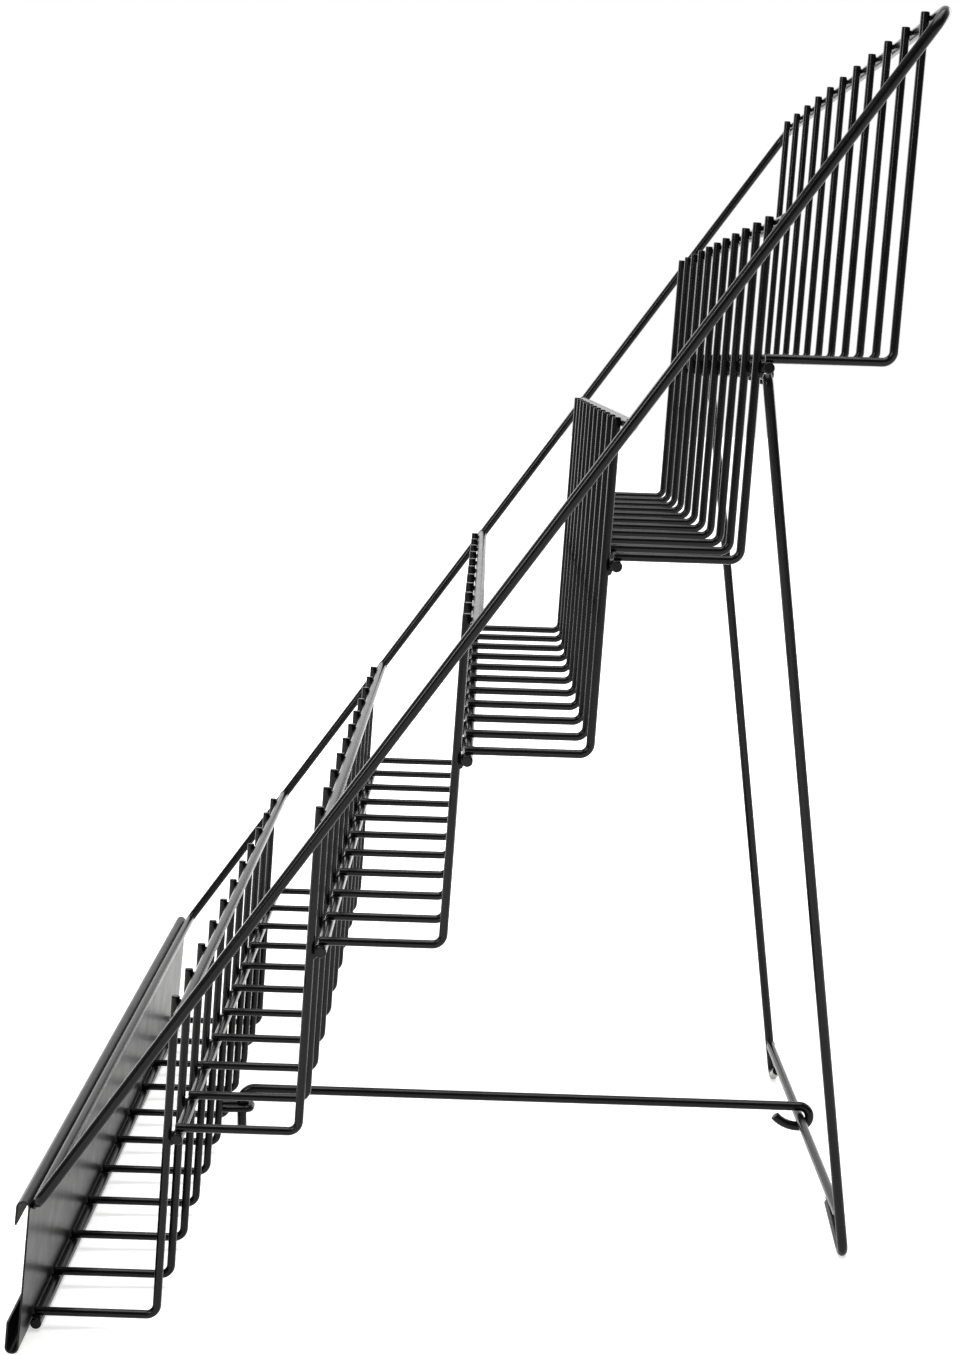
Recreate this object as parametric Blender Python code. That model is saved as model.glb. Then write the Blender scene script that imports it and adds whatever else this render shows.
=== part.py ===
# Six-tier countertop book rack of welded steel wire with a folding rear leg.
# Metres, Z up, front of the rack faces -Y, X runs across the width.
import math

import bmesh
import bpy
from mathutils import Vector

# Wire stock and gaps
HEAVY_D = 0.0048
LIGHT_D = 0.0037
WELD_GAP = 0.0003
WELD_SINK = 0.0004
SIDES = 8

# Tiers
TIERS = 6
RUN = 0.060
RISE = 0.080
WIRES = 11
WIRE_INSET = 0.029
FLOOR_TIP = 0.0011
FLOOR_TILT = math.radians(1.5)
BACK_LEAN = math.radians(3.9)
BACK_LEN = 0.1388
BEND_R = 0.0045
FLOOR_Z = 0.0062
FLOOR_REAR_Y = 0.0483
BAR_OVERHANG = 0.0050

# Side rails and top bar
RAIL_HALF = 0.2690
CORNER_R = 0.010
CORNER_LEN = 0.030
TOP_BAR_DROP = 0.0030

# Sign strip
SHEET = 0.0008
STRIP_LEAN_DEG = 5.5
STRIP_OVER_RAIL = 0.0046
LIP_DEPTH = 0.0050
LOW_LIP = 0.0105
HIGH_LIP = 0.0100

# Rear leg
LEG_X = 0.1500
LEG_EYE_R = 0.0062
LEG_EYE_WRAP = 285
FOOT_BACK = 0.0518
FOOT_BEND_R = 0.0050
FOOT_Z = 0.00238
ARM_IN = 0.038
LEG_BAR_UP = 0.0195

# Stay rod and its staple
STAY_EYE_GAP = 0.0005
STAY_RISE = 0.0076
STAY_REACH = 0.2876
STAY_BEND_R = 0.0065
STAY_DROP = 0.0185
STAPLE_Z = 0.0228
STAPLE_BEND_R = 0.0024
PIN_GAP = 0.0005
HOOK_END = -55

HEAVY_R = HEAVY_D / 2
LIGHT_R = LIGHT_D / 2
PITCH = math.hypot(RUN, RISE)
STRIP_LEAN = math.radians(STRIP_LEAN_DEG)
ALONG = Vector((0, RUN / PITCH, RISE / PITCH))
OUTWARD = Vector((0, -RISE / PITCH, RUN / PITCH))
BACK_DIR = Vector((0, math.sin(BACK_LEAN), math.cos(BACK_LEAN)))
FLOOR_DIR = Vector((0, -math.cos(FLOOR_TILT), math.sin(FLOOR_TILT)))
END_WIRE = RAIL_HALF - WIRE_INSET
WIRE_PITCH = 2 * END_WIRE / (WIRES - 1)

bpy.ops.object.select_all(action="DESELECT")
for old in list(bpy.data.objects):
    bpy.data.objects.remove(old, do_unlink=True)


# Materials
def paint(name, rgb, rough):
    m = bpy.data.materials.new(name)
    m.use_nodes = True
    b = m.node_tree.nodes["Principled BSDF"]
    b.inputs["Base Color"].default_value = (*rgb, 1)
    b.inputs["Roughness"].default_value = rough
    return m


BLACK = (0.012, 0.012, 0.013)


def add(name, bm, rough=0.35):
    bmesh.ops.recalc_face_normals(bm, faces=bm.faces)
    mesh = bpy.data.meshes.new(name)
    bm.to_mesh(mesh)
    bm.free()
    ob = bpy.data.objects.new(name, mesh)
    bpy.context.scene.collection.objects.link(ob)
    mesh.materials.append(paint(name + "_paint", BLACK, rough))
    return ob


# Path helpers
def arc(centre, a, b, r, start, stop, steps):
    pts = []
    for i in range(steps + 1):
        t = start + (stop - start) * i / steps
        pts.append(centre + a * (r * math.cos(t)) + b * (r * math.sin(t)))
    return pts


def rounded(points, radii, steps):
    pts = [points[0].copy()]
    for i in range(1, len(points) - 1):
        p = points[i]
        u = (points[i - 1] - p).normalized()
        v = (points[i + 1] - p).normalized()
        half = u.angle(v) / 2
        cut = radii[i - 1] / math.tan(half)
        mid = p + (u + v).normalized() * (radii[i - 1] / math.sin(half))
        s = (p + u * cut) - mid
        e = (p + v * cut) - mid
        turn = s.angle(e)
        side = (e - s * (e.dot(s) / s.length_squared)).normalized() * s.length
        for k in range(steps + 1):
            t = turn * k / steps
            pts.append(mid + s * math.cos(t) + side * math.sin(t))
    pts.append(points[-1].copy())
    return pts


def tube(bm, pts, r, sides=SIDES):
    n = len(pts)
    tangents = []
    for i in range(n):
        a = (pts[i] - pts[i - 1]).normalized() if i else None
        b = (pts[i + 1] - pts[i]).normalized() if i < n - 1 else None
        t = a if b is None else b if a is None else (a + b).normalized()
        tangents.append((t, 1.0 if a is None or b is None else 1 / math.cos(a.angle(b) / 2), a, b))
    t0 = tangents[0][0]
    ref = Vector((1, 0, 0)) if abs(t0.x) < 0.9 else Vector((0, 0, 1))
    nrm = (ref - t0 * ref.dot(t0)).normalized()
    rings = []
    for i in range(n):
        t, stretch, a, b = tangents[i]
        if i:
            turn = tangents[i - 1][0].rotation_difference(t)
            nrm = (turn @ nrm)
            nrm = (nrm - t * nrm.dot(t)).normalized()
        binrm = t.cross(nrm)
        bend = None
        if a is not None and b is not None and a.angle(b) > 1e-5:
            bend = (b - a).normalized()
        ring = []
        for k in range(sides):
            w = 2 * math.pi * (k + 0.5) / sides
            off = nrm * (r * math.cos(w)) + binrm * (r * math.sin(w))
            if bend is not None:
                off += bend * (off.dot(bend) * (stretch - 1))
            ring.append(bm.verts.new(pts[i] + off))
        rings.append(ring)
    for i in range(n - 1):
        for k in range(sides):
            m = (k + 1) % sides
            bm.faces.new((rings[i][k], rings[i][m], rings[i + 1][m], rings[i + 1][k]))
    bm.faces.new(rings[0][::-1])
    bm.faces.new(rings[-1])


# Tier positions: the inner corner of tier 1 is the highest
CORNERS = []
for k in range(TIERS):
    up = TIERS - 1 - k
    CORNERS.append(Vector((0, FLOOR_REAR_Y + RUN * up, FLOOR_Z + RISE * up)))

# Joint bar: under the floor wires, behind the back wires of the tier below
BAR_UNDER = LIGHT_R + HEAVY_R - WELD_SINK
BAR_BEHIND = (LIGHT_R + WELD_GAP) / math.cos(BACK_LEAN) + HEAVY_R
lean = math.tan(BACK_LEAN)
fall = math.tan(FLOOR_TILT)
bar_y = (BAR_BEHIND - RUN + lean * (RISE - BAR_UNDER)) / (1 + lean * fall)
BAR_FROM_CORNER = Vector((0, bar_y, -bar_y * fall - BAR_UNDER))
FLOOR_LEN = (FLOOR_TIP - bar_y) / math.cos(FLOOR_TILT)


def bar_at(k):
    return CORNERS[k] + BAR_FROM_CORNER


# Top bar: behind the stubs, level with their ends, in the plane of the rails
TOP_FROM_CORNER = BACK_DIR * (BACK_LEN - TOP_BAR_DROP)
TOP_FROM_CORNER = TOP_FROM_CORNER + Vector((0, BACK_DIR.z, -BACK_DIR.y)) * (LIGHT_R + WELD_GAP + HEAVY_R)


def top_at(k):
    return CORNERS[k] + TOP_FROM_CORNER


# One welded mat per tier: eleven L-shaped wires on their joint bar
def tier_mat(k):
    bm = bmesh.new()
    c = CORNERS[k]
    for i in range(WIRES):
        x = Vector((END_WIRE - WIRE_PITCH * i, 0, 0))
        stub = c + BACK_DIR * BACK_LEN
        tip = c + FLOOR_DIR * FLOOR_LEN
        path = rounded([stub + x, c + x, tip + x], [BEND_R], 4)
        tube(bm, path, LIGHT_R)
    wires = add(f"tier_{k + 1}_mat", bm)
    bm = bmesh.new()
    half = Vector((END_WIRE + BAR_OVERHANG, 0, 0))
    tube(bm, [bar_at(k) - half, bar_at(k) + half], HEAVY_R)
    bar = add(f"joint_bar_cutter_{k + 1}", bm)
    mod = wires.modifiers.new("weld", "BOOLEAN")
    mod.operation = "UNION"
    mod.solver = "EXACT"
    mod.object = bar
    bar.hide_render = True
    bar.display_type = "WIRE"
    deps = bpy.context.evaluated_depsgraph_get()
    done = bpy.data.meshes.new_from_object(wires.evaluated_get(deps))
    wires.modifiers.clear()
    done.materials.clear()
    done.materials.append(wires.data.materials[0])
    wires.data = done
    bpy.data.objects.remove(bar, do_unlink=True)
    return wires


for k in range(TIERS):
    tier_mat(k)

# Cross bars behind the stubs of tiers 2 to 6, between the rails
for k in range(1, TIERS):
    bm = bmesh.new()
    half = Vector((RAIL_HALF - HEAVY_R - WELD_GAP, 0, 0))
    tube(bm, [top_at(k) - half, top_at(k) + half], HEAVY_R)
    add(f"tier_{k + 1}_top_bar", bm)

# Sign strip: one folded sheet with a card lip along both long edges
UP = Vector((0, math.sin(STRIP_LEAN), math.cos(STRIP_LEAN)))
FORE = Vector((0, -math.cos(STRIP_LEAN), math.sin(STRIP_LEAN)))
front_bar = bar_at(TIERS - 1)
back_face = front_bar + FORE * (HEAVY_R + WELD_GAP)
LIP_R = LIP_DEPTH / 2
mid = back_face + FORE * (SHEET / 2)
root = mid - UP * ((mid.z - LIP_R - SHEET / 2) / UP.z)
lift = (root + FORE * LIP_R).z - (LIP_R + SHEET / 2)
root = root - UP * (lift / UP.z)
strip_back = root - FORE * (SHEET / 2)
corner_top = top_at(0)
rail_run = (corner_top - strip_back).dot(FORE) / ALONG.dot(FORE)
rail_foot = corner_top - ALONG * rail_run
STRIP_H = (rail_foot.z + STRIP_OVER_RAIL - root.z) / UP.z - LIP_R
Y_AXIS = Vector((0, 1, 0))
Z_AXIS = Vector((0, 0, 1))


def strip_line(off):
    low = root + FORE * LIP_R
    top = root + UP * STRIP_H + FORE * LIP_R
    pts = [root + FORE * (LIP_DEPTH + off) + UP * LOW_LIP]
    for deg in (180 - STRIP_LEAN_DEG, 200, 222, 242, 260, 280, 298, 318, 340, 360 - STRIP_LEAN_DEG):
        t = math.radians(deg)
        pts.append(low + Y_AXIS * ((LIP_R + off) * math.cos(t)) + Z_AXIS * ((LIP_R + off) * math.sin(t)))
    for i in range(9):
        t = math.radians(180 * i / 8) - STRIP_LEAN
        pts.append(top + Y_AXIS * ((LIP_R + off) * math.cos(t)) + Z_AXIS * ((LIP_R + off) * math.sin(t)))
    pts.append(root + FORE * (LIP_DEPTH + off) + UP * (STRIP_H + LIP_R - HIGH_LIP))
    return pts


bm = bmesh.new()
outline = strip_line(SHEET / 2) + strip_line(-SHEET / 2)[::-1]
ends = []
for x in (-RAIL_HALF, RAIL_HALF):
    ends.append([bm.verts.new(p + Vector((x, 0, 0))) for p in outline])
count = len(outline)
for i in range(count):
    j = (i + 1) % count
    bm.faces.new((ends[0][i], ends[0][j], ends[1][j], ends[1][i]))
bm.faces.new(ends[0][::-1])
bm.faces.new(ends[1])
add("sign_strip", bm, 0.3)

# Side rails run from the back of the sign strip, cut flush to it, up to the corner bends
end = rail_foot + ALONG * (WELD_GAP / -ALONG.dot(FORE))
for name, side in (("rail_right", 1), ("rail_left", -1)):
    x = Vector((side * RAIL_HALF, 0, 0))
    inner = Vector((side * (RAIL_HALF - CORNER_LEN), 0, 0))
    bm = bmesh.new()
    tube(bm, rounded([end + x, corner_top + x, corner_top + inner], [CORNER_R], 5), HEAVY_R)
    bm.verts.ensure_lookup_table()
    for v in bm.verts[:SIDES]:
        v.co += ALONG * ((end - v.co).dot(FORE) / ALONG.dot(FORE))
    add(name, bm)
bm = bmesh.new()
half = Vector((RAIL_HALF - CORNER_LEN - WELD_GAP, 0, 0))
tube(bm, [corner_top - half, corner_top + half], HEAVY_R)
add("tier_1_top_bar", bm)

# Rear leg: two bent wires with an eye round the joint bar of tier 1, and a crossbar
HINGE = bar_at(0)
stem_top = HINGE + Y_AXIS * LEG_EYE_R
foot = Vector((0, HINGE.y + FOOT_BACK, FOOT_Z))
stem_dir = (foot - stem_top).normalized()
LEG_BAR = stem_top + stem_dir * ((stem_top.z - LEG_BAR_UP) / -stem_dir.z)
eye_side = Vector((0, -stem_dir.z, stem_dir.y))
eye_up = -stem_dir
arm_end = LEG_BAR + Vector((0, 0, -(HEAVY_D + WELD_GAP)))
for name, side in (("leg_right", 1), ("leg_left", -1)):
    x = Vector((side * LEG_X, 0, 0))
    eye = arc(HINGE + x, eye_side, eye_up, LEG_EYE_R, math.radians(LEG_EYE_WRAP), 0, 12)
    top = HINGE + eye_side * LEG_EYE_R
    sole = top + stem_dir * ((top.z - foot.z) / -stem_dir.z)
    tail = arm_end + Vector((side * (LEG_X - ARM_IN), 0, 0))
    bent = rounded([eye[-1], sole + x, tail], [FOOT_BEND_R], 6)
    drop = min(p.z for p in bent) - foot.z
    lowered = [p - Vector((0, 0, drop)) for p in bent[1:-1]]
    bm = bmesh.new()
    tube(bm, eye + lowered + [bent[-1]], HEAVY_R)
    add(name, bm)

bm = bmesh.new()
half = Vector((LEG_X - HEAVY_R - WELD_GAP, 0, 0))
tube(bm, [LEG_BAR - half, LEG_BAR + half], HEAVY_R)
add("leg_crossbar", bm)

# Staple on the middle back wire of tier 6: two arms and a rear bar that the rod hooks over
STAPLE_IN = LIGHT_R + WELD_GAP + LIGHT_R
STAPLE_HALF = LIGHT_R + PIN_GAP + HEAVY_R
STAY_X = -(STAPLE_IN + STAPLE_HALF)
low = CORNERS[TIERS - 1]
wire_y = low.y + math.tan(BACK_LEAN) * (STAPLE_Z - low.z)
pin_y = LEG_BAR.y - STAY_REACH
STAPLE_BAR = Vector((0, pin_y + HEAVY_R + PIN_GAP + LIGHT_R, STAPLE_Z))
path = []
for side, y in ((1, wire_y - LIGHT_R), (1, STAPLE_BAR.y), (-1, STAPLE_BAR.y), (-1, wire_y - LIGHT_R)):
    path.append(Vector((STAY_X + side * STAPLE_HALF, y, STAPLE_Z)))
bm = bmesh.new()
tube(bm, rounded(path, [STAPLE_BEND_R, STAPLE_BEND_R], 4), LIGHT_R)
add("stay_staple", bm)

# Stay rod: open hook over the leg crossbar, long shank, end bent down into the staple
HOOK_R = HEAVY_D + STAY_EYE_GAP
x = Vector((STAY_X, 0, 0))
tilt = math.atan2(STAY_RISE, STAY_REACH)
shank_dir = Vector((0, -math.cos(tilt), math.sin(tilt)))
shank_up = Vector((0, math.sin(tilt), math.cos(tilt)))
hook = arc(LEG_BAR + x, -shank_dir, shank_up, HOOK_R, math.radians(HOOK_END), math.radians(90), 8)
shank_front = hook[-1] + shank_dir * ((hook[-1].y - pin_y) / math.cos(tilt))
pin_low = shank_front + Vector((0, 0, -STAY_DROP))
path = hook + rounded([hook[-1], shank_front, pin_low], [STAY_BEND_R], 5)[1:]
bm = bmesh.new()
tube(bm, path, HEAVY_R)
add("stay_rod", bm)

# Stand the rack with its footprint centred on the origin
spots = [v.co for ob in bpy.data.objects for v in ob.data.vertices]
lo = min(p.y for p in spots)
hi = max(p.y for p in spots)
base = min(p.z for p in spots)
shift = Vector((0, -(lo + hi) / 2, -base))
for ob in bpy.data.objects:
    for v in ob.data.vertices:
        v.co += shift

# Moving pieces carry their origin on their joint axis
AXES = {"leg_right": HINGE, "leg_left": HINGE, "leg_crossbar": HINGE, "stay_rod": STAPLE_BAR}
for name, axis in AXES.items():
    ob = bpy.data.objects[name]
    pivot = axis + shift
    for v in ob.data.vertices:
        v.co -= pivot
    ob.location = pivot
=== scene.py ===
import math

import bmesh
import bpy
from mathutils import Matrix, Vector


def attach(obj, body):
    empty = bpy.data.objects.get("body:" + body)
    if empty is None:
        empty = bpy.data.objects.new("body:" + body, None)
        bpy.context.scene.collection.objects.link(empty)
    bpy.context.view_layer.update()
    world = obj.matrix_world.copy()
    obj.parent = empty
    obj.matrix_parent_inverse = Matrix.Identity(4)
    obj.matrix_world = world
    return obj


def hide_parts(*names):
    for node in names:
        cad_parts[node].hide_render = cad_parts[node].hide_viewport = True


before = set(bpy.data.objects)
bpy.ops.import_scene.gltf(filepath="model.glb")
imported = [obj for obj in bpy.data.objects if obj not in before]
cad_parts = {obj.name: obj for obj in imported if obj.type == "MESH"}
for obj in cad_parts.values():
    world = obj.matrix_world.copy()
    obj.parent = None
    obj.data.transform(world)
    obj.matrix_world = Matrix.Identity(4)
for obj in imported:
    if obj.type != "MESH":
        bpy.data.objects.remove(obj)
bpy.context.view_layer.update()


# Tier wires: eleven L-shaped wires on each of six tiers, floor and back in one bend.
# Bright drawn steel wire, 3.7 mm, sheared square, bent over a pin, then welded and coated.
TIERS = 6
STEP = Vector((0, 0.060, 0.080))
LOWEST_CORNER = Vector((0, -0.128675, 0.006156))
BACK_LEAN = math.radians(3.9)
FLOOR_TILT = math.radians(1.5)
BACK_UP = Vector((0, math.sin(BACK_LEAN), math.cos(BACK_LEAN)))
FLOOR_OUT = Vector((0, -math.cos(FLOOR_TILT), math.sin(FLOOR_TILT)))
BACK_RUN = 0.1380
FLOOR_RUN = 0.05128
TIER_BEND = 0.0045
TIER_WIRE = 0.00366
ACROSS = Vector((1, 0, 0))
OUTER_WIRE_X = 0.240
WIRE_PITCH = 0.048
WIRES = 11
WIRE_X = [OUTER_WIRE_X - WIRE_PITCH * i for i in range(WIRES)]


def srgb(code):
    # Linear colour, with alpha, of a hex code such as #0a0a0b
    parts = [int(code[i:i + 2], 16) / 255 for i in (1, 3, 5)]
    return [c / 12.92 if c <= 0.04045 else ((c + 0.055) / 1.055) ** 2.4 for c in parts] + [1.0]


def add_node(tree, kind, inputs, **settings):
    # One node with its settings; an input is a plain value or the socket that feeds it
    made = tree.nodes.new(kind)
    for name, value in settings.items():
        setattr(made, name, value)
    for name, value in inputs.items():
        if isinstance(value, bpy.types.NodeSocket):
            tree.links.new(value, made.inputs[name])
        else:
            made.inputs[name].default_value = value
    return made


# The film's thick and thin places are some 14 mm across. Its orange peel is drawn at 8 mm,
# coarser than the real 0.8 mm, so that it shows at this size.
CLOUD_MM = 14.0
PEEL_MM = 8.0


def powder_coat(name, dark, pale, smoothest, dullest, peel_deep_mm):
    # Polyester powder baked on steel: an even black film, a little duller where it ran thin,
    # with the faint orange peel that breaks the long highlights
    finish = bpy.data.materials.new(name)
    finish.use_nodes = True
    tree = finish.node_tree
    tree.nodes.clear()
    place = add_node(tree, "ShaderNodeTexCoord", {}).outputs["Object"]
    cloud = add_node(tree, "ShaderNodeTexNoise", {"Vector": place, "Scale": 1000 / CLOUD_MM, "Detail": 3.0})
    peel = add_node(tree, "ShaderNodeTexNoise", {"Vector": place, "Scale": 1000 / PEEL_MM, "Detail": 1.0})
    tone = add_node(tree, "ShaderNodeValToRGB", {"Fac": cloud.outputs["Fac"]})
    tone.color_ramp.elements[0].position = 0.35
    tone.color_ramp.elements[0].color = srgb(dark)
    tone.color_ramp.elements[1].position = 0.70
    tone.color_ramp.elements[1].color = srgb(pale)
    dull = add_node(tree, "ShaderNodeMapRange", {
        "Value": cloud.outputs["Fac"], "From Min": 0.3, "From Max": 0.7,
        "To Min": smoothest, "To Max": dullest})
    skin = add_node(tree, "ShaderNodeBump", {
        "Height": peel.outputs["Fac"], "Strength": 0.6, "Distance": peel_deep_mm / 1000})
    coat = add_node(tree, "ShaderNodeBsdfPrincipled", {
        "Base Color": tone.outputs["Color"], "Roughness": dull.outputs["Result"],
        "Normal": skin.outputs["Normal"], "IOR": 1.5, "Specular IOR Level": 0.2})
    add_node(tree, "ShaderNodeOutputMaterial", {"Surface": coat.outputs["BSDF"]})
    return finish


wire_coat = powder_coat("black_powder_coat_on_wire", "#0a0a0b", "#101011",
                        smoothest=0.17, dullest=0.22, peel_deep_mm=0.006)
GUARD = 0.0012
BEND_STEP_DEGREES = 9
FEWEST_BEND_STEPS = 3


def far_end(grown):
    # Vertices and edges at the far end of what an operator has just drawn out
    tips = [g for g in grown if isinstance(g, bmesh.types.BMVert)]
    ring = set(tips)
    edges = [g for g in grown if isinstance(g, bmesh.types.BMEdge) and ring.issuperset(g.verts)]
    return tips, edges


def draw_out(bm, edges, at, heading, moves):
    # Carries a ring, or one edge, along straight runs and round bends of (angle, radius, axis)
    for move in moves:
        if isinstance(move, float):
            # A ring close to each end keeps the shading of the straight run true
            guard = min(GUARD, move / 4)
            for part in (guard, move - 2 * guard, guard):
                tips, edges = far_end(bmesh.ops.extrude_edge_only(bm, edges=edges)["geom"])
                bmesh.ops.translate(bm, vec=heading * part, verts=tips)
            at = at + heading * move
        else:
            angle, radius, axis = move
            middle = at + axis.cross(heading) * radius
            steps = max(FEWEST_BEND_STEPS, round(math.degrees(angle) / BEND_STEP_DEGREES))
            turned = bmesh.ops.spin(bm, geom=edges, cent=middle, axis=axis, angle=angle, steps=steps,
                                    use_duplicate=False)
            tips, edges = far_end(turned["geom_last"])
            turn = Matrix.Rotation(angle, 3, axis)
            at = middle + turn @ (at - middle)
            heading = turn @ heading
    return edges


# Shares of the wire's thickness: the ring inside a sheared end, and the rounding of its rim
CAP_INSET = 0.13
RIM_ROUND = 0.09


def draw_wire(bm, thick, at, heading, moves, sides=16):
    # One length of round wire with both ends sheared square and their rims softened by the coat
    heading = heading.normalized()
    aim = Matrix.Translation(at) @ heading.to_track_quat("Z", "Y").to_matrix().to_4x4()
    disc = bmesh.ops.create_circle(bm, cap_ends=True, segments=sides, radius=thick / 2, matrix=aim)
    rim = list(dict.fromkeys(e for v in disc["verts"] for e in v.link_edges))
    caps = list(dict.fromkeys(f for v in disc["verts"] for f in v.link_faces))
    last = draw_out(bm, rim, at, heading, moves)
    caps += bmesh.ops.edgeloop_fill(bm, edges=last)["faces"]
    bmesh.ops.inset_individual(bm, faces=caps, thickness=thick * CAP_INSET)
    bmesh.ops.bevel(bm, geom=rim + last, offset=thick * RIM_ROUND, affect="EDGES", segments=2,
                    profile=0.5, material=-1)


def through(points, radius):
    # Runs and bends of a wire that is bent at each inner point of the route
    moves = []
    spent = 0.0
    for i in range(1, len(points) - 1):
        into = (points[i] - points[i - 1]).normalized()
        out = (points[i + 1] - points[i]).normalized()
        angle = into.angle(out)
        cut = radius * math.tan(angle / 2)
        moves.append((points[i] - points[i - 1]).length - spent - cut)
        moves.append((angle, radius, into.cross(out).normalized()))
        spent = cut
    moves.append((points[-1] - points[-2]).length - spent)
    return moves


SHARP_ANGLE = math.radians(48)


def settle(name, bm, finish, body, slot, *nodes):
    bmesh.ops.recalc_face_normals(bm, faces=bm.faces)
    mesh = bpy.data.meshes.new(name)
    bm.to_mesh(mesh)
    bm.free()
    mesh.shade_smooth()
    mesh.set_sharp_from_angle(angle=SHARP_ANGLE)
    mesh.materials.append(finish)
    piece = bpy.data.objects.new(name, mesh)
    bpy.context.scene.collection.objects.link(piece)
    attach(piece, body)
    if nodes:
        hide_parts(*nodes)


for tier in range(1, TIERS + 1):
    corner = LOWEST_CORNER + STEP * (TIERS - tier)
    route = [corner + BACK_UP * BACK_RUN, corner, corner + FLOOR_OUT * FLOOR_RUN]
    bm = bmesh.new()
    for x in WIRE_X:
        draw_wire(bm, TIER_WIRE, route[0] + ACROSS * x, route[1] - route[0], through(route, TIER_BEND))
    settle(f"tier_{tier}_wires", bm, wire_coat, "rack", "wire_paint", f"tier_{tier}_mat")


# Joint bars: one straight 4.8 mm bar under the floor fronts of each tier.
# Each also touches the backs of the tier below, so one bar joins two tiers; both are spot-welded.
BAR_WIRE = 0.00474
BAR_SIDES = 20
LOWEST_BAR = Vector((0, -0.178839, 0.003620))
JOINT_HALF = 0.245
FLOOR_WELD_AT = Vector((0, -0.0002, 0.0019))
FLOOR_WELD = (0.0027, 0.0022, 0.0012)
BACK_WELD_AT = Vector((0, -0.0024, 0.0003))
BACK_WELD = (0.0021, 0.0010, 0.0022)
BACK_FILLET_AT = Vector((0, -0.0029, -0.0018))
BACK_FILLET = (0.0014, 0.0015, 0.0022)


def add_weld(bm, at, size):
    # A resistance weld's squeezed-out bead, filled over by the coat
    bmesh.ops.create_uvsphere(bm, u_segments=8, v_segments=5, radius=1.0,
                              matrix=Matrix.Translation(at) @ Matrix.Diagonal((*size, 1.0)))


for tier in range(1, TIERS + 1):
    bar = LOWEST_BAR + STEP * (TIERS - tier)
    bm = bmesh.new()
    draw_wire(bm, BAR_WIRE, bar - ACROSS * JOINT_HALF, ACROSS, [2 * JOINT_HALF], BAR_SIDES)
    settle(f"tier_{tier}_joint_bar", bm, wire_coat, "rack", "wire_paint")
    bm = bmesh.new()
    for x in WIRE_X:
        add_weld(bm, bar + ACROSS * x + FLOOR_WELD_AT, FLOOR_WELD)
        if tier < TIERS:
            add_weld(bm, bar + ACROSS * x + BACK_WELD_AT, BACK_WELD)
            add_weld(bm, bar + ACROSS * x + BACK_FILLET_AT, BACK_FILLET)
    settle(f"tier_{tier}_floor_welds", bm, wire_coat, "rack", "wire_paint")


# Frame wire: one 4.8 mm wire bent into a rectangle: both rails, the top and a bar behind the strip.
# Its ends are butt-welded and ground smooth, and the lower bar lies against the strip's back.
RAIL_X = 0.26884
TOP_CORNER = Vector((0, 0.185050, 0.541332))
RAIL_FOOT = Vector((0, -0.175810, 0.060117))
STRIP_LEAN = math.radians(5.5)
STRIP_FORE = Vector((0, -math.cos(STRIP_LEAN), math.sin(STRIP_LEAN)))
TOP_BEND = 0.010
LOW_BEND = 0.004
FRAME_SIDES = 24
SEAM = 0.00001
FOOT_WELD_X = 0.2630
FOOT_WELD_AT = STRIP_FORE * 0.0019 + Vector((0, 0, -0.0021))
FOOT_WELD = (0.0045, 0.0014, 0.0020)


def draw_loop(bm, thick, at, heading, moves, sides):
    # A wire bent round until its ends meet, where it is joined without a trace
    aim = Matrix.Translation(at) @ heading.to_track_quat("Z", "Y").to_matrix().to_4x4()
    bmesh.ops.create_circle(bm, segments=sides, radius=thick / 2, matrix=aim)
    draw_out(bm, bm.edges[:], at, heading.normalized(), moves)
    bmesh.ops.remove_doubles(bm, verts=bm.verts, dist=SEAM)


rail_way = (TOP_CORNER - RAIL_FOOT).normalized()
low_corner = RAIL_FOOT - rail_way * (BAR_WIRE / 2 / rail_way.dot(STRIP_FORE))
half_up = (low_corner + TOP_CORNER) / 2
right = ACROSS * RAIL_X
moves = through([low_corner, low_corner + right, half_up + right], LOW_BEND)
moves += through([half_up + right, TOP_CORNER + right, TOP_CORNER - right, half_up - right], TOP_BEND)
moves += through([half_up - right, low_corner - right, low_corner], LOW_BEND)
bm = bmesh.new()
draw_loop(bm, BAR_WIRE, low_corner, right, moves, FRAME_SIDES)
for side in (-1, 1):
    add_weld(bm, low_corner + ACROSS * (side * FOOT_WELD_X) + FOOT_WELD_AT, FOOT_WELD)
settle("frame_wire", bm, wire_coat, "rack", "wire_paint", "rail_right", "rail_left", "tier_1_top_bar")


# Cross bars: straight 4.8 mm bars behind the backs of tiers 2 to 6, between the rails.
# Each back wire stands a little proud of its bar, and every crossing is spot-welded.
# Tier 1's back wires are welded to the frame wire's top instead.
CROSS_HALF = 0.2664
END_WELD = (0.0017, 0.0028, 0.0028)
TOP_WELD_AT = Vector((0, -0.0024, 0))
TOP_WELD = (0.0012, 0.0006, 0.0012)
for tier in range(1, TIERS + 1):
    bar = TOP_CORNER - STEP * (tier - 1)
    bm = bmesh.new()
    if tier > 1:
        draw_wire(bm, BAR_WIRE, bar - ACROSS * CROSS_HALF, ACROSS, [2 * CROSS_HALF], BAR_SIDES)
        settle(f"tier_{tier}_cross_bar", bm, wire_coat, "rack", "wire_paint", f"tier_{tier}_top_bar")
        bm = bmesh.new()
        for side in (-1, 1):
            add_weld(bm, bar + ACROSS * (side * CROSS_HALF), END_WELD)
    for x in WIRE_X:
        add_weld(bm, bar + ACROSS * x + TOP_WELD_AT, TOP_WELD)
    settle(f"tier_{tier}_top_welds", bm, wire_coat, "rack", "wire_paint")


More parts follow.
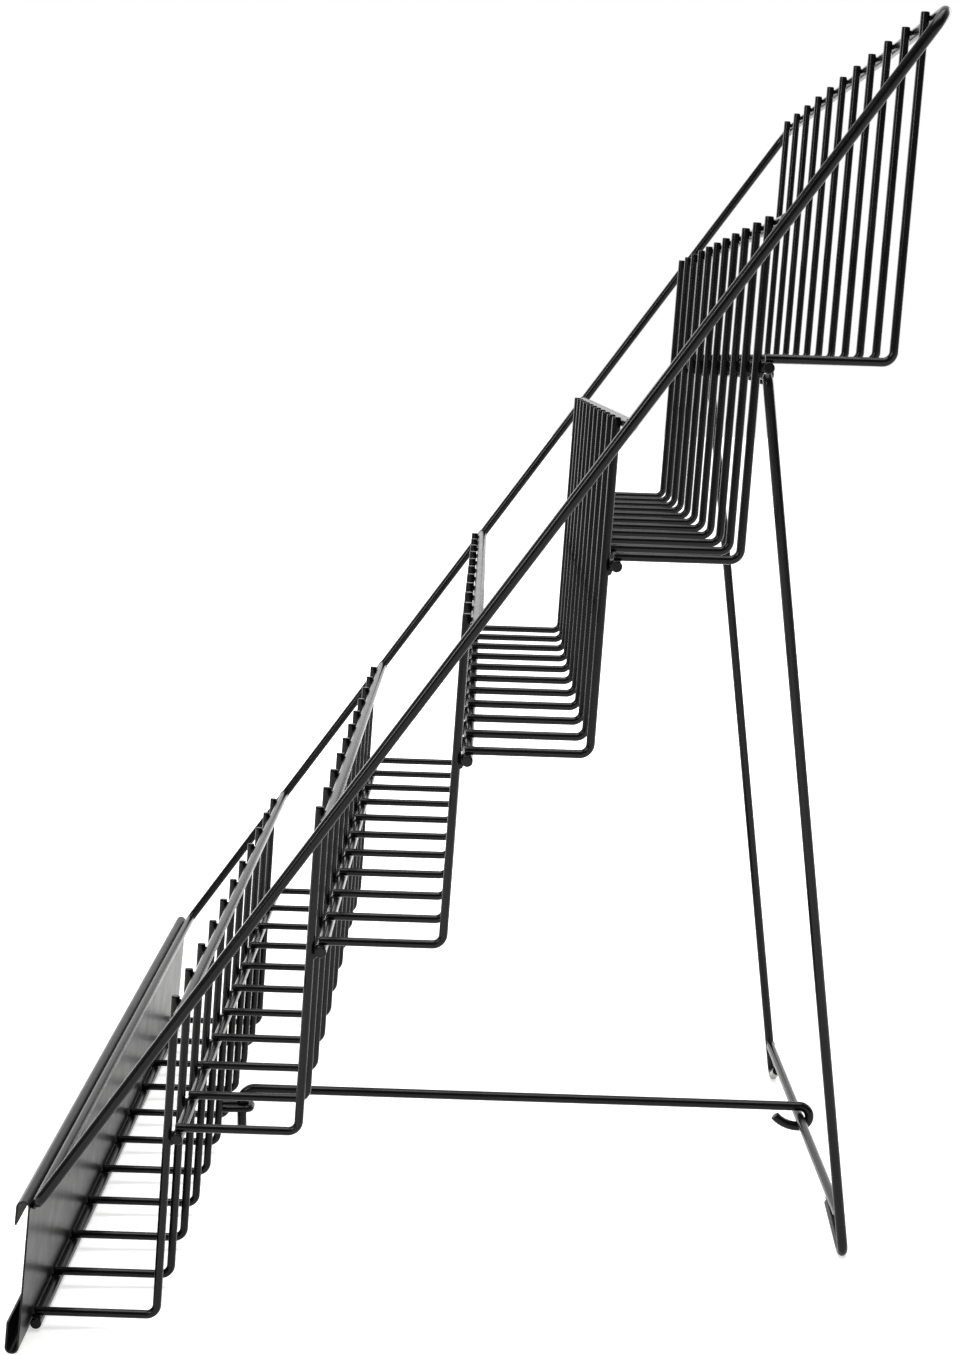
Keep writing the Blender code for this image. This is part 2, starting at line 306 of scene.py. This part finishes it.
# Sign strip: one long strip of 0.8 mm sheet steel, folded forward along both edges into card lips.
# It is welded to the lowest joint bar and to the frame wire's lower bar.
# Its coat is the wire's powder, laid on thicker, so it looks a little duller and paler.
sheet_coat = powder_coat("black_powder_coat_on_sheet", "#0a0a0b", "#121213",
                         smoothest=0.28, dullest=0.35, peel_deep_mm=0.008)
STRIP_UP = Vector((0, math.sin(STRIP_LEAN), math.cos(STRIP_LEAN)))
STRIP_ROOT = Vector((0, -0.182030, 0.002666))
SHEET = 0.0008
FOLD_INSIDE = 0.0025
LOWER_LIP = 0.0105
FACE_RUN = 0.05943
UPPER_LIP = 0.0075
half_turn = (math.pi, FOLD_INSIDE + SHEET / 2, ACROSS)
start = STRIP_ROOT + STRIP_FORE * (2 * FOLD_INSIDE + SHEET / 2) + STRIP_UP * LOWER_LIP
bm = bmesh.new()
left_end = bm.verts.new(start - ACROSS * RAIL_X)
right_end = bm.verts.new(start + ACROSS * RAIL_X)
edge = bm.edges.new((left_end, right_end))
draw_out(bm, [edge], start, -STRIP_UP, [LOWER_LIP, half_turn, FACE_RUN, half_turn, UPPER_LIP])
bmesh.ops.solidify(bm, geom=bm.faces[:], thickness=SHEET)
settle("sign_strip_sheet", bm, sheet_coat, "rack", "strip_paint", "sign_strip")


# Leg wire: one 4.8 mm wire bent into an arch, whose top bar lies behind tier 1's joint bar.
# At the bottom each end is bent back on itself into a foot whose short arm is welded to the crossbar.
HINGE = Vector((0, 0.121161, 0.403620))
LEG_TOP = HINGE + Vector((0, 0.009400, -0.003100))
FOOT_CORNER = Vector((0, 0.173000, 0.000546))
ARM_END = Vector((0, 0.171015, 0.014356))
STEM_X = ACROSS * 0.150
ARM_X = ACROSS * 0.112
LEG_BEND = 0.005
route = [ARM_END + ARM_X, FOOT_CORNER + STEM_X, LEG_TOP + STEM_X]
route += [LEG_TOP - STEM_X, FOOT_CORNER - STEM_X, ARM_END - ARM_X]
bm = bmesh.new()
draw_wire(bm, BAR_WIRE, route[0], route[1] - route[0], through(route, LEG_BEND), BAR_SIDES)
settle("leg_wire", bm, wire_coat, "leg", "wire_paint", "leg_right", "leg_left")


# Leg clips: two rings of 2 mm wire, closed round the joint bar and the leg's top bar.
# They hold the leg and let it turn about the joint bar.
CLIP_WIRE = 0.0020
CLIP_SLACK = 0.00015
CLIP_R = BAR_WIRE / 2 + CLIP_WIRE / 2 + CLIP_SLACK
CLIP_SIDES = 12
CLIP_X = 0.135
apart = LEG_TOP - HINGE
half_round = (math.pi, CLIP_R, ACROSS)
for name, x in (("right", CLIP_X), ("left", -CLIP_X)):
    at = HINGE + ACROSS * x - ACROSS.cross(apart.normalized()) * CLIP_R
    bm = bmesh.new()
    draw_loop(bm, CLIP_WIRE, at, apart, [apart.length, half_round, apart.length, half_round], CLIP_SIDES)
    settle(f"leg_clip_{name}", bm, wire_coat, "leg", "wire_paint")


# Leg crossbar: a straight 4.8 mm bar between the leg's two stems, just above the feet.
# It is butt-welded to the stems and rests on the ends of the feet's short arms.
LEG_BAR = Vector((0, 0.171015, 0.019456))
LEG_BAR_HALF = 0.1475
STEM_WELD_X = 0.1473
STEM_WELD = (0.0016, 0.0028, 0.0028)
ARM_WELD_X = 0.1135
ARM_WELD_AT = Vector((0, 0, -0.0025))
ARM_WELD = (0.0035, 0.0021, 0.0012)
bm = bmesh.new()
draw_wire(bm, BAR_WIRE, LEG_BAR - ACROSS * LEG_BAR_HALF, ACROSS, [2 * LEG_BAR_HALF], BAR_SIDES)
settle("leg_cross_bar", bm, wire_coat, "leg", "wire_paint", "leg_crossbar")
bm = bmesh.new()
for side in (-1, 1):
    add_weld(bm, LEG_BAR + ACROSS * (side * STEM_WELD_X), STEM_WELD)
    add_weld(bm, LEG_BAR + ACROSS * (side * ARM_WELD_X) + ARM_WELD_AT, ARM_WELD)
settle("leg_welds", bm, wire_coat, "leg", "wire_paint")


# Staple: a short 3.7 mm wire bent into a narrow U and welded to the middle back wire of tier 6.
# The stay rod's front end drops between its arms.
STAY_X = -0.00875
STAPLE_HALF = 0.00475
STAPLE_FRONT = -0.1294
STAPLE_BACK = -0.111835
STAPLE_Z = 0.022756
STAPLE_BEND = 0.0024
STAPLE_WELD_AT = Vector((-0.0020, -0.1275, STAPLE_Z))
STAPLE_WELD = (0.0013, 0.0020, 0.0026)
arms = []
for side, y in ((1, STAPLE_FRONT), (1, STAPLE_BACK), (-1, STAPLE_BACK), (-1, STAPLE_FRONT)):
    arms.append(Vector((STAY_X + side * STAPLE_HALF, y, STAPLE_Z)))
bm = bmesh.new()
draw_wire(bm, TIER_WIRE, arms[0], arms[1] - arms[0], through(arms, STAPLE_BEND))
add_weld(bm, STAPLE_WELD_AT, STAPLE_WELD)
settle("stay_rod_staple", bm, wire_coat, "rack", "wire_paint", "stay_staple")


# Stay rod: one 4.8 mm wire that keeps the leg from spreading.
# Its rear end is bent into a loose eye round the leg crossbar, its front end down into the staple.
STAY_TILT = math.radians(1.5137)
EYE_R = 0.0053
TAIL_R = 0.017
TAIL_TURN = math.radians(48)
PIN_Y = -0.116585
PIN_TOP = 0.032358
PIN_END = 0.0108
PIN_BEND = 0.0065
rear = Vector((STAY_X, LEG_BAR.y, LEG_BAR.z))
heading = Vector((0, math.cos(TAIL_TURN), -math.sin(TAIL_TURN)))
tail_tip = rear + Vector((0, 0, TAIL_R - EYE_R)) - ACROSS.cross(heading) * TAIL_R
eye_top = rear + Matrix.Rotation(math.radians(90) - STAY_TILT, 3, ACROSS) @ Vector((0, EYE_R, 0))
shank = [eye_top, Vector((STAY_X, PIN_Y, PIN_TOP)), Vector((STAY_X, PIN_Y, PIN_END))]
eye_bends = [(TAIL_TURN, TAIL_R, ACROSS), (math.pi - STAY_TILT, EYE_R, ACROSS)]
bm = bmesh.new()
draw_wire(bm, BAR_WIRE, tail_tip, heading, eye_bends + through(shank, PIN_BEND), BAR_SIDES)
settle("stay_wire", bm, wire_coat, "stay", "wire_paint", "stay_rod")


# Floor: a seamless sweep of white paper, plain and matt for the lamps and white for the camera.
# Its glow is weak within 0.35 m of the middle, so that the rack keeps a faint shadow there.
FLOOR_HALF = 12.0
CAMERA_GLOW = 1.6
paper = bpy.data.materials.new("white_paper_sweep")
paper.use_nodes = True
tree = paper.node_tree
tree.nodes.clear()
path = add_node(tree, "ShaderNodeLightPath", {})
seen = add_node(tree, "ShaderNodeMath", {
    0: path.outputs["Is Camera Ray"], 1: CAMERA_GLOW, 2: path.outputs["Is Glossy Ray"]},
    operation="MULTIPLY_ADD")
place = add_node(tree, "ShaderNodeTexCoord", {}).outputs["Object"]
reach = add_node(tree, "ShaderNodeVectorMath", {0: place}, operation="LENGTH")
lift = add_node(tree, "ShaderNodeMapRange", {
    "Value": reach.outputs["Value"], "From Min": 0.35, "From Max": 1.3, "To Min": 0.35, "To Max": 0.95})
glow = add_node(tree, "ShaderNodeMath", {0: seen.outputs["Value"], 1: lift.outputs["Result"]},
                operation="MULTIPLY")
matt = add_node(tree, "ShaderNodeBsdfDiffuse", {"Color": srgb("#f0f0ee")})
shine = add_node(tree, "ShaderNodeEmission", {"Color": srgb("#ffffff"), "Strength": glow.outputs["Value"]})
both = add_node(tree, "ShaderNodeAddShader", {0: matt.outputs["BSDF"], 1: shine.outputs["Emission"]})
add_node(tree, "ShaderNodeOutputMaterial", {"Surface": both.outputs["Shader"]})
bm = bmesh.new()
bmesh.ops.create_grid(bm, x_segments=1, y_segments=1, size=FLOOR_HALF)
ground = bpy.data.meshes.new("floor")
bm.to_mesh(ground)
bm.free()
ground.materials.append(paper)
floor = bpy.data.objects.new("floor", ground)
bpy.context.scene.collection.objects.link(floor)


# Surroundings: white for the camera. The wires reflect a white wall on the rack's left
# and a dim room on its right, where the camera stands, and the light from all round is weak.
ROOM_LIGHT = 0.2
sky = bpy.data.worlds.new("studio")
sky.use_nodes = True
tree = sky.node_tree
tree.nodes.clear()
path = add_node(tree, "ShaderNodeLightPath", {})
seen = add_node(tree, "ShaderNodeMath", {0: path.outputs["Is Camera Ray"], 1: path.outputs["Is Glossy Ray"]},
                operation="MAXIMUM")
seen = add_node(tree, "ShaderNodeMath", {0: seen.outputs["Value"], 1: path.outputs["Is Transmission Ray"]},
                operation="MAXIMUM")
way = add_node(tree, "ShaderNodeSeparateXYZ", {
    "Vector": add_node(tree, "ShaderNodeTexCoord", {}).outputs["Generated"]})
room = add_node(tree, "ShaderNodeMapRange", {
    "Value": way.outputs["X"], "From Min": -0.4, "From Max": 0.3, "To Min": 1.0, "To Max": 0.08})
white = add_node(tree, "ShaderNodeMath", {0: room.outputs["Result"], 1: path.outputs["Is Camera Ray"]},
                 operation="MAXIMUM")
level = add_node(tree, "ShaderNodeMapRange", {
    "Value": seen.outputs["Value"], "To Min": ROOM_LIGHT, "To Max": white.outputs["Value"]})
air = add_node(tree, "ShaderNodeBackground", {"Color": srgb("#ffffff"), "Strength": level.outputs["Result"]})
add_node(tree, "ShaderNodeOutputWorld", {"Surface": air.outputs["Background"]})
bpy.context.scene.world = sky


# Lamps: four soft boxes, all turned to the middle of the rack.
# A narrow one at the front right, a large one above, and two on the left for the rims of the wires.
LAMP_AIM = Vector((0, 0, 0.25))
for name, spot, watts, wide, high in (
        ("key", (1.5, -1.3, 1.2), 18.0, 0.4, 1.0), ("top", (0.3, 0.0, 2.2), 44.0, 1.6, 1.6),
        ("front_rim", (-1.7, -1.5, 1.0), 20.0, 1.0, 1.6), ("rear_rim", (-1.5, 1.7, 1.0), 20.0, 1.0, 1.6)):
    lamp = bpy.data.lights.new(name, "AREA")
    lamp.energy = watts
    lamp.shape = "RECTANGLE"
    lamp.size = wide
    lamp.size_y = high
    holder = bpy.data.objects.new(name, lamp)
    holder.location = spot
    holder.rotation_euler = (LAMP_AIM - Vector(spot)).to_track_quat("-Z", "Y").to_euler()
    bpy.context.scene.collection.objects.link(holder)


# Camera: its place, turn and focal length were solved from the photograph.
# Lengths in pixels are those of a frame of 959 by 1355.
SENSOR = 24.0
FOCAL_PX = 2577.16
FRAME_HIGH_PX = 1355
EYE_AT = Vector((1.283892, 0.010520, 0.407941))
TO_RIGHT = Vector((-0.00506416, 0.99997113, 0.0056652))
TO_TOP = Vector((-0.12384409, -0.00624882, 0.99228201))
lens = bpy.data.cameras.new("camera")
lens.sensor_fit = "VERTICAL"
lens.sensor_height = SENSOR
lens.lens = SENSOR * FOCAL_PX / FRAME_HIGH_PX
eye = bpy.data.objects.new("camera", lens)
turned = Matrix((TO_RIGHT, TO_TOP, TO_RIGHT.cross(TO_TOP))).transposed()
eye.matrix_world = Matrix.Translation(EYE_AT) @ turned.to_4x4()
bpy.context.scene.collection.objects.link(eye)
bpy.context.scene.camera = eye
bpy.context.scene.view_settings.view_transform = "Standard"
